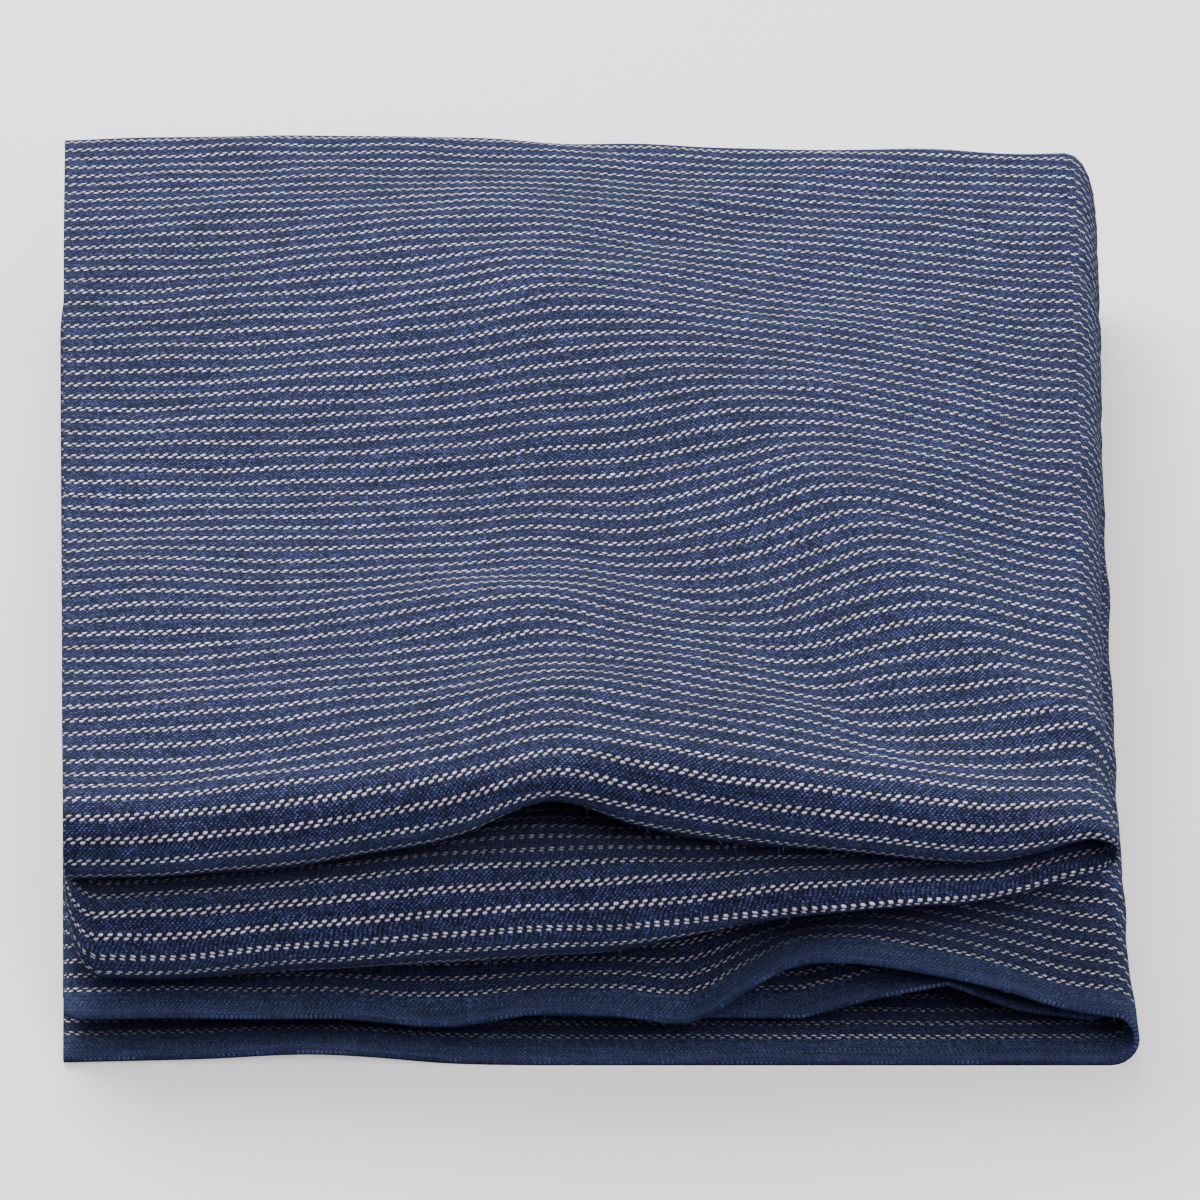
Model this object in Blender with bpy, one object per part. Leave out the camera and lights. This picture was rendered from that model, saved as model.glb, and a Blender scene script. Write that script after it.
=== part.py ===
"""Folded striped cloth: one cut length of hand-woven cotton, folded into a flat pack.

The cloth is one sheet. Its stripes run left to right (X), and so do its two selvedges.
A maker folds it in three steps:
  1. a strip along one long side is turned in, which makes the round front roll
  2. the length is folded over and over into four, so four lengths lie in the pack
  3. the pack is folded across at the back, so the other selvedge comes forward underneath

The four lengths are called A, B, C and D here, in their order along the sheet. A lies
outermost (top and floor), B is its twin round the right side, C and D lie between them.
Each length has three runs: low (selvedge to back), high (back to the front roll) and
turn (the strip turned in). Sizes are millimetres; the mesh is made in metres. The origin
is on the floor below the middle of the pack, +Z is up and the selvedges face -Y.
"""

import math

import bmesh
import bpy
import numpy as np

MM = 0.001

# The sheet
THICKNESS = 1.0
FLOOR_Z = THICKNESS / 2

# The pack: its front line, its left end, and its right edge with its shallow waist
FRONT_Y = -90.0
PACK_DEPTH = 190.0
LEFT_FRONT_X = -71.9
LEFT_FLOOR_X = -73.2
LEFT_SKEW = 10.3
RIGHT_FRONT_X = 70.6
RIGHT_SKEW = 5.4
RIGHT_FLOOR_X = 73.0
RIGHT_WAIST = 21.0

# The front roll's crest line and how far the roll stands forward of it
CREST_Y = -78.5
BACK_Y = 92.0

# How softly the top panel turns from its ridge into its even fall to the back
SOFT_RIDGE = 0.25

# Relief of the top panel, one row for each section from left to right:
# crest = top of the front roll, trough and ridge = the two soft folds behind it
TOP_COLUMNS = ("x", "crest", "trough_y", "trough", "ridge_y", "ridge", "back")
TOP_SECTIONS = (
    (-84.0, 35.0, -20.0, 34.6, 56.0, 36.2, 33.0),
    (-54.0, 37.6, -14.0, 35.2, 58.0, 37.6, 33.8),
    (-27.0, 41.4, -12.0, 35.8, 52.0, 40.2, 33.6),
    (0.0, 45.8, -18.0, 36.8, 32.0, 43.2, 32.6),
    (20.0, 43.4, -40.0, 38.0, 6.0, 44.0, 31.8),
    (41.0, 39.0, -69.0, 37.2, -32.0, 44.6, 31.4),
    (52.0, 37.2, -72.0, 36.2, -48.0, 42.4, 31.2),
    (62.0, 36.0, -74.0, 35.4, -60.0, 38.6, 30.8),
    (78.0, 35.0, -75.0, 34.8, -64.0, 36.2, 30.4),
)

# The front of the pack, one row for each section from left to right:
# lip = underside of the front roll, bulge = the second roll, edge and shelf = the
# selvedge under it and the cloth behind that edge, inner = the layer inside, lift = floor
FRONT_COLUMNS = ("x", "lip", "bulge_y", "bulge_top", "bulge_low", "edge", "shelf", "inner", "lift")
FRONT_SECTIONS = (
    (-84.0, 24.0, -89.0, 22.3, 10.7, 7.4, 8.2, 4.5, 0.2),
    (-54.0, 24.8, -89.0, 23.0, 11.0, 7.3, 8.3, 4.5, 1.1),
    (-37.0, 27.2, -89.0, 25.2, 12.2, 7.3, 8.4, 5.2, 1.9),
    (-20.0, 32.4, -89.0, 27.6, 13.1, 6.2, 8.4, 4.4, 0.3),
    (-8.0, 39.2, -89.0, 28.9, 13.9, 8.2, 8.6, 4.4, 0.0),
    (3.0, 33.2, -89.0, 28.6, 15.6, 7.6, 8.8, 4.2, 0.0),
    (13.5, 30.0, -89.0, 27.8, 18.4, 7.2, 9.6, 4.0, 0.0),
    (20.0, 29.2, -88.6, 27.4, 20.4, 12.4, 11.6, 4.0, 0.0),
    (26.0, 28.9, -88.0, 27.0, 21.6, 16.2, 13.8, 4.0, 0.0),
    (34.0, 28.2, -87.0, 26.4, 22.2, 16.8, 15.2, 5.6, 0.0),
    (43.0, 27.3, -85.0, 25.4, 21.4, 15.4, 14.4, 10.4, 0.0),
    (50.0, 27.2, -83.0, 24.6, 20.0, 13.9, 12.6, 8.8, 0.0),
    (56.0, 28.4, -81.0, 25.2, 19.4, 12.0, 10.8, 5.4, 0.0),
    (62.0, 30.2, -79.0, 26.6, 20.0, 9.4, 9.4, 4.0, 0.0),
    (78.0, 32.4, -78.0, 28.4, 22.0, 6.4, 7.6, 4.0, 0.0),
)

# Soft bumps on the top panel, one row each: x, y, half width, half depth, height
BUMPS = (
    (-64.0, -28.0, 15.0, 11.0, 1.8),
    (-18.0, -37.0, 20.0, 11.0, 2.0),
    (-56.0, -71.0, 18.0, 6.0, -0.9),
    (36.0, 52.0, 20.0, 22.0, -0.9),
)

# Share of the pack's height at which each run lies, away from the front
RUN_SHARES = {
    ("A", "high"): 1.0,
    ("A", "turn"): 0.925,
    ("D", "turn"): 0.85,
    ("D", "high"): 0.775,
    ("C", "high"): 0.70,
    ("C", "turn"): 0.625,
    ("B", "turn"): 0.55,
    ("B", "high"): 0.45,
    ("B", "low"): 0.33,
    ("C", "low"): 0.22,
    ("D", "low"): 0.11,
    ("A", "low"): 0.0,
}

# Where the folds at the front fade into the even layers behind them. The bulge's fade is
# measured back from the bulge, the others along Y
EDGE_FADE = (-90.0, -70.0)
ROLL_FADE = (-80.0, -63.0)
SHELF_FADE = (-78.0, -35.0)
BULGE_FADE = (9.0, 27.0)

# Each length: edge_y = its selvedge, wrap_y and wrap_out = where it turns round at the
# back and how far, nose_y and nose_out = the same at the front, strip_end_y = the end of
# its turned-in strip
LENGTHS = {
    "A": (-91.2, BACK_Y, 11.0, CREST_Y, 6.0, 14.0),
    "B": (-90.0, 88.0, 2.4, None, 6.5, 10.0),
    "C": (-85.5, 89.0, 5.6, -64.5, 1.6, 4.0),
    "D": (-79.0, 90.0, 8.4, -64.5, 1.6, 8.0),
}

# Turns at the ends of the lengths: how far each run's turn stands out in X, and how
# far inside the pack's edge it ends, so that the turned-in strip lies within the rest
RIGHT_OUTER = {"low": 3.4, "high": 4.6, "turn": 3.8}
RIGHT_OUTER_INSET = {"low": 0.0, "high": 0.0, "turn": 4.0}
RIGHT_INNER = {"low": 2.2, "high": 1.6, "turn": 3.6}
RIGHT_INNER_EDGE = {"low": 69.2, "high": 56.0, "turn": 59.0}
LEFT_TURN = {"low": 1.5, "high": 2.0, "turn": 1.6}
LEFT_INSET = {"low": 1.0, "high": 2.1, "turn": 7.8}

# The tightest an end turn bends, so that long slanting turns stay round
TIGHTEST_BEND = 1.3

# Lines of the mesh across the cloth, as distances from the selvedge, the back turn
# and the front nose, and the number of columns along each length and round each turn
SELVEDGE_LINES = (0.0, 5.0, 13.0, 24.0, 42.0, 66.0, 94.0, 122.0, 150.0)
BACK_LINES = (0.0, 1.2, 2.8, 5.2, 9.0, 14.5, 21.0, 29.0, 42.0)
NOSE_LINES = (0.0, 1.0, 2.4, 4.4, 7.4, 11.0, 16.0)
PANEL_LINES = (26.0, 38.0, 52.0, 68.0, 86.0, 106.0, 128.0)
STRIP_LINES = (26.0, 44.0, 68.0, 95.0)
HIDDEN_COLUMNS = 8
VISIBLE_SHARES = (0.0, 0.12, 0.235, 0.325, 0.39, 0.45, 0.51, 0.6, 0.67, 0.735, 0.82, 0.915, 1.0)
COLUMNS_PER_TURN = 6

# The cloth keeps its own length this near its edges and its folds
BACK_TURN_HALF = 22.0
NOSE_HALF = 8.0
TRUE_FROM_FRONT = 50.0
TRUE_FROM_BACK = 12.0
RUN_SAMPLES = 120
TURN_SAMPLES = 40


def smooth_step(value, start, end):
    """0 before start, 1 after end, smooth between."""
    share = np.clip((value - start) / (end - start), 0.0, 1.0)
    return share * share * (3.0 - 2.0 * share)


def section_value(rows, columns, name, x):
    """One column of a table of sections, read smoothly at x."""
    places = np.array([row[0] for row in rows])
    values = np.array([row[columns.index(name)] for row in rows])
    slopes = np.gradient(values, places)
    x = np.clip(x, places[0], places[-1])
    index = np.clip(np.searchsorted(places, x) - 1, 0, len(places) - 2)
    width = places[index + 1] - places[index]
    u = (x - places[index]) / width
    return ((2 * u**3 - 3 * u**2 + 1) * values[index]
            + (u**3 - 2 * u**2 + u) * width * slopes[index]
            + (-2 * u**3 + 3 * u**2) * values[index + 1]
            + (u**3 - u**2) * width * slopes[index + 1])


def top_height(x, y):
    """Height of the top panel: crest, trough, ridge, then the fall to the back."""
    crest, trough_y, trough, ridge_y, ridge, back = (
        section_value(TOP_SECTIONS, TOP_COLUMNS, name, x) for name in TOP_COLUMNS[1:])
    to_trough = smooth_step(y, CREST_Y, trough_y)
    to_ridge = smooth_step(y, trough_y, ridge_y)
    fall = np.clip((y - ridge_y) / (BACK_Y - ridge_y), 0.0, 1.0)
    fall = (np.hypot(fall, SOFT_RIDGE) - SOFT_RIDGE) / (math.hypot(1.0, SOFT_RIDGE) - SOFT_RIDGE)
    height = crest + (trough - crest) * to_trough + (ridge - trough) * to_ridge
    height = height + (back - ridge) * fall
    for bump_x, bump_y, wide, deep, rise in BUMPS:
        height = height + rise * np.exp(-((x - bump_x) / wide)**2 - ((y - bump_y) / deep)**2)
    return height


def run_height(length, run, x, y):
    """Height of one run of one length of the cloth above the floor."""
    def front(name):
        return section_value(FRONT_SECTIONS, FRONT_COLUMNS, name, x)

    def shared(key):
        return floor + RUN_SHARES[key] * (top - floor)

    top = top_height(x, y)
    near_edge = 1.0 - smooth_step(y, *EDGE_FADE)
    floor = FLOOR_Z + front("lift") * near_edge
    near_roll = 1.0 - smooth_step(y, *ROLL_FADE)
    near_front = 1.0 - smooth_step(y, *SHELF_FADE)
    near_bulge = 1.0 - smooth_step(y - front("bulge_y"), *BULGE_FADE)
    if (length, run) == ("A", "high"):
        return top
    if (length, run) == ("A", "low"):
        return floor
    if run in ("turn", "high") and (length, run) != ("B", "high"):
        upper = shared(("A", "turn"))
        upper = upper + (front("lip") - upper) * near_roll
        lower = shared(("B", "turn"))
        lower = lower + (front("bulge_top") - lower) * near_bulge
        span = RUN_SHARES["A", "turn"] - RUN_SHARES["B", "turn"]
        return lower + (upper - lower) * (RUN_SHARES[length, run] - RUN_SHARES["B", "turn"]) / span
    if (length, run) == ("B", "high"):
        main = shared(("B", "high"))
        return main + (front("bulge_low") - main) * near_bulge
    # The low runs: the edge and the shelf behind it, and the layers under them
    shelf = shared(("B", "low"))
    shelf = shelf + (front("shelf") - shelf) * near_front
    shelf = shelf + (front("edge") - shelf) * near_edge
    if (length, run) == ("B", "low"):
        return shelf
    inner = shared(("C", "low"))
    inner = inner + (front("inner") - inner) * near_front
    if (length, run) == ("C", "low"):
        return inner
    return (inner + floor) / 2


def run_mix(table, to_high, to_turn):
    """A table's value between its low, high and turn runs."""
    value = table["low"] + (table["high"] - table["low"]) * to_high
    return value + (table["turn"] - table["high"]) * to_turn


def length_ends(length, to_high, to_turn, y):
    """Left and right end of a length before its turns, between its runs."""
    inward = (y - FRONT_Y) / PACK_DEPTH
    waist = RIGHT_WAIST * inward * np.clip(1.0 - inward, 0.0, 1.0)**3
    left = LEFT_FLOOR_X + (LEFT_FRONT_X - LEFT_FLOOR_X) * to_high - LEFT_SKEW * inward
    if length in "BC":
        left = left + run_mix(LEFT_TURN, to_high, to_turn) + run_mix(LEFT_INSET, to_high, to_turn)
    if length in "AB":
        front = RIGHT_FLOOR_X + (RIGHT_FRONT_X - RIGHT_FLOOR_X) * to_high
        right = front + (RIGHT_FRONT_X + RIGHT_SKEW - front) * inward
        right = right - run_mix(RIGHT_OUTER, to_high, to_turn) - waist * (1.0 + to_high) / 2
        return left, right - run_mix(RIGHT_OUTER_INSET, to_high, to_turn)
    right = run_mix(RIGHT_INNER_EDGE, to_high, to_turn) + RIGHT_SKEW * inward / 2
    return left, right - run_mix(RIGHT_INNER, to_high, to_turn)


def half_turn(start, end, out, samples):
    """Half an ellipse in Y and Z from start to end, which stands out by out in Y."""
    angle = np.linspace(0.0, math.pi, samples)[:, None]
    middle = start + (end - start) * (1.0 - np.cos(angle)) / 2
    middle[:, 1] += out * np.sin(angle[:, 0])
    return middle


def length_profile(length, share):
    """Centre line across one length at a share of its width, and its two folds."""
    edge_y, wrap_y, wrap_out, nose_y, nose_out, strip_end_y = LENGTHS[length]

    def run_points(run, y):
        left, right = length_ends(length, float(run != "low"), float(run == "turn"), y)
        x = left + (right - left) * share
        return np.stack([x, y, run_height(length, run, x, y)], axis=1)

    if nose_y is None:
        left, right = length_ends(length, 1.0, 0.0, np.array([FRONT_Y]))
        x = left + (right - left) * share
        nose_y = float(section_value(FRONT_SECTIONS, FRONT_COLUMNS, "bulge_y", x)[0]) + nose_out
    low = run_points("low", np.linspace(edge_y, wrap_y, RUN_SAMPLES))
    high = run_points("high", np.linspace(wrap_y, nose_y, RUN_SAMPLES))
    turn = run_points("turn", np.linspace(nose_y, strip_end_y, RUN_SAMPLES))
    wrap = half_turn(low[-1], high[0], wrap_out, TURN_SAMPLES)
    nose = half_turn(high[-1], turn[0], -nose_out, TURN_SAMPLES)
    line = np.concatenate([low, wrap[1:], high[1:], nose[1:], turn[1:]])
    steps = np.linalg.norm(np.diff(line, axis=0), axis=1)
    along = np.concatenate([[0.0], np.cumsum(steps)])
    back_turn = along[RUN_SAMPLES - 1 + TURN_SAMPLES // 2]
    front_nose = along[2 * RUN_SAMPLES + TURN_SAMPLES - 2 + TURN_SAMPLES // 2]
    return line, along, back_turn, front_nose


def eased_length(distance, full, own):
    """Length along a shorter layer that matches a distance along the outermost one."""
    slack = full - own
    start = TRUE_FROM_FRONT
    end = full - TRUE_FROM_BACK
    return distance - slack * np.clip((distance - start) / (end - start), 0.0, 1.0)


def sheet_lines(back_turn, front_nose):
    """Distances across the sheet of the mesh's lines, from the selvedge."""
    lines = set(SELVEDGE_LINES)
    lines |= {back_turn + side * step for step in BACK_LINES for side in (-1, 1)}
    lines |= {front_nose + side * step for step in NOSE_LINES for side in (-1, 1)}
    lines |= {front_nose - step for step in PANEL_LINES}
    lines |= {front_nose + step for step in STRIP_LINES}
    return np.array(sorted(lines))


def run_weights(lines, full_back, full_nose):
    """How far each line of the sheet is from its low to its high and turned-in run."""
    to_high = smooth_step(lines, full_back - BACK_TURN_HALF, full_back + BACK_TURN_HALF)
    to_turn = smooth_step(lines, full_nose - NOSE_HALF, full_nose + NOSE_HALF)
    return to_high, to_turn


def length_points(length, share, lines, full_back, full_nose):
    """Points of one length at a share of its width, on the sheet's lines."""
    line, along, back_turn, front_nose = length_profile(length, share)
    low = eased_length(np.minimum(lines, full_back), full_back, back_turn)
    high = front_nose - eased_length(full_nose - lines, full_nose - full_back,
                                     front_nose - back_turn)
    strip_share = (lines - full_nose) / (lines[-1] - full_nose)
    strip = front_nose + (along[-1] - front_nose) * strip_share
    place = np.where(lines <= full_back, low, np.where(lines <= full_nose, high, strip))
    y = np.interp(place, along, line[:, 1])
    z = np.interp(place, along, line[:, 2])
    to_high, to_turn = run_weights(lines, full_back, full_nose)
    left, right = length_ends(length, to_high, to_turn, y)
    return np.stack([left + (right - left) * share, y, z], axis=1)


def turn_columns(start, end, reach, side):
    """Columns of points round an end turn from one length to the next."""
    half_height = np.linalg.norm((end - start)[:, 1:], axis=1) / 2
    reach = np.maximum(reach, np.sqrt(TIGHTEST_BEND * half_height))
    columns = []
    for step in range(1, COLUMNS_PER_TURN):
        angle = math.pi * step / COLUMNS_PER_TURN
        column = start + (end - start) * (1.0 - math.cos(angle)) / 2
        column[:, 0] += side * reach * math.sin(angle)
        columns.append(column)
    return columns


def sheet_points():
    """All points of the sheet's middle surface, one column after the other along it."""
    _, _, full_back, full_nose = length_profile("A", 0.5)
    lines = sheet_lines(full_back, full_nose)
    to_high, to_turn = run_weights(lines, full_back, full_nose)
    hidden = np.linspace(0.0, 1.0, HIDDEN_COLUMNS + 1)
    plan = (("A", VISIBLE_SHARES, RIGHT_OUTER, 1), ("B", VISIBLE_SHARES[::-1], LEFT_TURN, -1),
            ("C", hidden, RIGHT_INNER, 1), ("D", hidden[::-1], None, 0))
    columns = []
    turn = None
    for length, shares, next_turn, side in plan:
        points = [length_points(length, share, lines, full_back, full_nose) for share in shares]
        if turn is not None:
            columns += turn_columns(columns[-1], points[0], *turn)
        columns += points
        if next_turn is not None:
            turn = (run_mix(next_turn, to_high, to_turn), side)
    return columns


def cloth_material():
    """Indigo cotton with a woven, dull finish."""
    material = bpy.data.materials.new("indigo cotton")
    material.use_nodes = True
    shader = material.node_tree.nodes["Principled BSDF"]
    shader.inputs["Base Color"].default_value = (0.052, 0.066, 0.135, 1.0)
    shader.inputs["Roughness"].default_value = 0.85
    shader.inputs["Metallic"].default_value = 0.0
    return material


def make_cloth():
    """The sheet as a mesh of its middle surface, thickened by a Solidify modifier."""
    columns = sheet_points()
    shape = bmesh.new()
    grid = [[shape.verts.new(point * MM) for point in column] for column in columns]
    for left, right in zip(grid[:-1], grid[1:]):
        for row in range(len(left) - 1):
            shape.faces.new((left[row], right[row], right[row + 1], left[row + 1]))
    mesh = bpy.data.meshes.new("cloth")
    shape.to_mesh(mesh)
    shape.free()
    mesh.shade_smooth()
    cloth = bpy.data.objects.new("cloth", mesh)
    bpy.context.scene.collection.objects.link(cloth)
    cloth.data.materials.append(cloth_material())
    solid = cloth.modifiers.new("thickness", "SOLIDIFY")
    solid.thickness = THICKNESS * MM
    solid.offset = 0.0
    return cloth


def main():
    for old in list(bpy.data.objects):
        bpy.data.objects.remove(old)
    make_cloth()


main()
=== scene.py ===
"""Folded indigo stripe cloth: the looks of one folded length of hand-woven cotton.

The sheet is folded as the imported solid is: a strip along one side is turned in, the
length is folded over and over into four, and the pack is folded across at the back.
Folding sizes are millimetres, and the meshes are made in metres.
"""

import math

import bpy
import numpy as np
from bpy.props import FloatProperty, FloatVectorProperty, IntProperty, PointerProperty
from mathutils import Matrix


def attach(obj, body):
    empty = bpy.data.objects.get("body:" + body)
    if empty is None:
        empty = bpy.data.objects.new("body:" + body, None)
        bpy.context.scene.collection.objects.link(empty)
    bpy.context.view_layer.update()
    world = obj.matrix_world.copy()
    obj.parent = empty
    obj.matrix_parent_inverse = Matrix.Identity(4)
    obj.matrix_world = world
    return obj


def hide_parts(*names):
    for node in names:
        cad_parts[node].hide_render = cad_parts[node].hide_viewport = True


bl_info = {
    "name": "Folded stripe cloth",
    "version": (1, 0, 0),
    "blender": (4, 5, 0),
    "location": "View3D > Sidebar > Cloth",
    "description": "Makes a folded length of hand-woven indigo cotton with dotted stripes",
    "category": "Object",
}

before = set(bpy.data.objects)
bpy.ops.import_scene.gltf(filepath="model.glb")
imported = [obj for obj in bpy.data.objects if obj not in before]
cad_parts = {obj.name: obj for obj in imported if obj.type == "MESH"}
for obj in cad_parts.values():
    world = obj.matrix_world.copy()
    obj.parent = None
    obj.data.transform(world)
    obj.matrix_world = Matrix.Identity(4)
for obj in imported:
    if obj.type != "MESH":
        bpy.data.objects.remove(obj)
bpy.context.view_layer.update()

MM = 0.001

# The pack: its front line, its left end, and its right edge with its shallow waist
FRONT_Y = -90.0
PACK_DEPTH = 190.0
LEFT_FRONT_X = -71.9
LEFT_FLOOR_X = -73.2
LEFT_SKEW = 10.3
RIGHT_FRONT_X = 70.6
RIGHT_SKEW = 5.4
RIGHT_FLOOR_X = 73.0
RIGHT_WAIST = 21.0
CREST_Y = -78.5
BACK_Y = 92.0

# How softly the top panel turns from its ridge into its even fall to the back
SOFT_RIDGE = 0.25

# Relief of the top panel, one row for each section from left to right
TOP_COLUMNS = ("x", "crest", "trough_y", "trough", "ridge_y", "ridge", "back")
TOP_SECTIONS = (
    (-84.0, 35.0, -20.0, 34.6, 56.0, 36.2, 33.0),
    (-54.0, 37.6, -14.0, 35.2, 58.0, 37.6, 33.8),
    (-27.0, 41.4, -12.0, 35.8, 52.0, 40.2, 33.6),
    (0.0, 45.8, -18.0, 36.8, 32.0, 43.2, 32.6),
    (20.0, 43.4, -40.0, 38.0, 6.0, 44.0, 31.8),
    (41.0, 39.0, -69.0, 37.2, -32.0, 44.6, 31.4),
    (52.0, 37.2, -72.0, 36.2, -48.0, 42.4, 31.2),
    (62.0, 36.0, -74.0, 35.4, -60.0, 38.6, 30.8),
    (78.0, 35.0, -75.0, 34.8, -64.0, 36.2, 30.4),
)

# The front of the pack: lip = underside of the front roll, bulge = the second roll,
# edge and shelf = the selvedge under it, inner = the layer inside, lift = the floor layer
FRONT_COLUMNS = ("x", "lip", "bulge_y", "bulge_top", "bulge_low", "edge", "shelf", "inner", "lift")
FRONT_SECTIONS = (
    (-84.0, 24.0, -89.0, 22.3, 10.7, 7.4, 8.2, 4.5, 0.2),
    (-54.0, 24.8, -89.0, 23.0, 11.0, 7.3, 8.3, 4.5, 1.1),
    (-37.0, 27.2, -89.0, 25.2, 12.2, 7.3, 8.4, 5.2, 1.9),
    (-20.0, 32.0, -89.0, 27.6, 13.1, 6.2, 8.4, 4.4, 0.3),
    (-8.0, 37.6, -89.0, 28.9, 13.9, 8.2, 8.6, 4.4, 0.0),
    (3.0, 32.9, -89.0, 28.6, 15.6, 7.6, 8.8, 4.2, 0.0),
    (13.5, 30.0, -89.0, 27.8, 18.4, 7.2, 9.6, 4.0, 0.0),
    (20.0, 29.2, -88.6, 27.4, 20.4, 12.4, 11.6, 4.0, 0.0),
    (26.0, 28.9, -88.0, 27.0, 21.6, 16.2, 13.8, 4.0, 0.0),
    (34.0, 28.2, -87.0, 26.4, 22.2, 16.8, 15.2, 5.6, 0.0),
    (43.0, 27.3, -85.0, 25.4, 21.4, 15.4, 14.4, 10.4, 0.0),
    (50.0, 27.2, -83.0, 24.6, 20.0, 13.9, 12.6, 8.8, 0.0),
    (56.0, 29.2, -81.0, 25.2, 19.4, 12.0, 10.8, 5.4, 0.0),
    (62.0, 32.4, -79.0, 26.6, 20.0, 9.4, 9.4, 4.0, 0.0),
    (78.0, 33.4, -78.0, 28.4, 22.0, 6.4, 7.6, 4.0, 0.0),
)

# Soft bumps on the top panel, one row each: x, y, half width, half depth, height
BUMPS = (
    (-64.0, -28.0, 15.0, 11.0, 1.8),
    (-18.0, -37.0, 20.0, 11.0, 2.0),
    (-56.0, -71.0, 18.0, 6.0, -0.9),
    (36.0, 52.0, 20.0, 22.0, -0.9),
)

# Creases on the top panel, one row each: from x, y to x, y, half width, height
CREASES = (
    (-30.0, -46.0, 2.0, -58.0, 5.0, -0.5),
    (-78.0, -55.0, -34.0, -60.0, 6.0, 0.5),
    (22.0, -4.0, 60.0, 10.0, 7.0, -0.4),
    (-62.0, 30.0, -12.0, 38.0, 9.0, 0.4),
    (50.0, -66.0, 70.0, -62.0, 4.0, 0.5),
    (-72.0, -10.0, -34.0, -4.0, 8.0, -0.5),
    (-16.0, 66.0, 34.0, 74.0, 8.0, 0.4),
)

# Share of the pack's height at which each run lies, away from the front
RUN_SHARES = {
    ("A", "high"): 1.0,
    ("A", "turn"): 0.925,
    ("D", "turn"): 0.85,
    ("D", "high"): 0.775,
    ("C", "high"): 0.70,
    ("C", "turn"): 0.625,
    ("B", "turn"): 0.55,
    ("B", "high"): 0.45,
    ("B", "low"): 0.33,
    ("C", "low"): 0.22,
    ("D", "low"): 0.11,
    ("A", "low"): 0.0,
}

# Where the folds at the front fade into the even layers behind them
EDGE_FADE = (-90.0, -70.0)
ROLL_FADE = (-80.0, -63.0)
SHELF_FADE = (-78.0, -35.0)
BULGE_FADE = (9.0, 27.0)

# Each length: its selvedge, where it turns round at the back and how far, the same at
# the front, and the end of its turned-in strip
LENGTHS = {
    "A": (-91.2, BACK_Y, 11.0, CREST_Y, 6.0, 14.0),
    "B": (-90.0, 88.0, 2.4, None, 6.5, 10.0),
    "C": (-85.5, 89.0, 5.6, -64.5, 1.6, 4.0),
    "D": (-79.0, 90.0, 8.4, -64.5, 1.6, 8.0),
}

# Turns at the ends of the lengths: how far each stands out and how far inside it ends
RIGHT_OUTER = {"low": 3.4, "high": 4.6, "turn": 3.8}
RIGHT_OUTER_INSET = {"low": 0.0, "high": 0.0, "turn": 4.0}
RIGHT_INNER = {"low": 2.2, "high": 1.6, "turn": 3.6}
RIGHT_INNER_EDGE = {"low": 69.2, "high": 56.0, "turn": 59.0}
LEFT_TURN = {"low": 1.5, "high": 2.0, "turn": 1.6}
LEFT_INSET = {"low": 1.0, "high": 2.1, "turn": 7.8}
TIGHTEST_BEND = 1.3

# Mesh lines: columns along each length and round each turn, and spacing across
COLUMNS = {"A": 62, "B": 44, "C": 14, "D": 12}
TURN_COLUMNS = (12, 8, 8)
FINE_SPACING = 1.7
BACK_TURN_HALF = 22.0
NOSE_HALF = 8.0
STRIP_INSET = (9.0, 22.0)
TRUE_FROM_FRONT = 50.0
TRUE_FROM_BACK = 12.0
RUN_SAMPLES = 160
TURN_SAMPLES = 48

# Spacing of the lines across: a share of the fine spacing at a fold, up to the whole of it
# FOLD_REACH away, and wider where a line lies hidden below the pack or far into the strip.
# The front fold counts as nearer than it is
FOLD_SPACING = 0.55
FOLD_REACH = (4.0, 16.0)
NOSE_WEIGHT = 0.8
HIDDEN_SPACING = 1.6
HIDDEN_START = (30.0, 60.0)
HIDDEN_END = (-40.0, -15.0)
STRIP_SPACING = 2.2
STRIP_REACH = (18.0, 40.0)

# Small ripples of the whole sheet: how many waves, their shortest and longest, how far they
# turn from the stripes' direction, how they bend, and the scale of their height
RIPPLE_SEED = 7
RIPPLE_WAVES = 14
RIPPLE_LENGTHS = (9.0, 30.0)
RIPPLE_TURN = 0.9
RIPPLE_BEND = 0.35
RIPPLE_BEND_LENGTH = 23.0
RIPPLE_FULL_LENGTH = 18.0
RIPPLE_SHARE = 2.2
RIPPLE_ABOVE_FLOOR = (1.0, 3.0)
RIPPLE_FROM_LEFT = (1.0, 12.0)

# Noises of the cloth: scale along the stripes, scale across them, and detail
NOISES = {
    "drift": (0.07, 0.10, 2.0),
    "uneven": (1.25, 1.6, 1.0),
    "shift": (0.10, 0.8, 1.0),
    "streak": (0.05, 2.6, 2.0),
    "slub": (1.6, 0.06, 2.0),
    "patch": (0.02, 0.02, 2.0),
    "mottle": (0.22, 0.30, 2.0),
    "clump": (1.3, 1.5, 2.0),
    "fleck": (0.55, 0.9, 3.0),
    "fibre": (7.0, 9.0, 3.0),
}

# How far threads wander from their line, in millimetres
DRIFT_REACH = 0.9
UNEVEN_REACH = 0.20
SHIFT_REACH = 0.9

# The weave: indigo ends in a repeat, slant of a bead, and shapes of an end and a pick, then the
# heights where a bead's painted shadow turns to a painted highlight, and the indigo's darker dye
# and painted shade in the gaps turn to its paler worn crowns
INDIGO_ENDS = 6
BEAD_SLANT = 0.5
END_ROUNDNESS = 0.8
CROSSING_TURN = (-0.9, 0.9)
WARP_UP = (0.14, 0.32)
PICK_HEIGHT = 0.42
BEAD_SHADE_TO_HIGHLIGHT = (0.16, 0.92)
INDIGO_WEAR_AND_SHADE = (0.24, 0.78)

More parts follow.
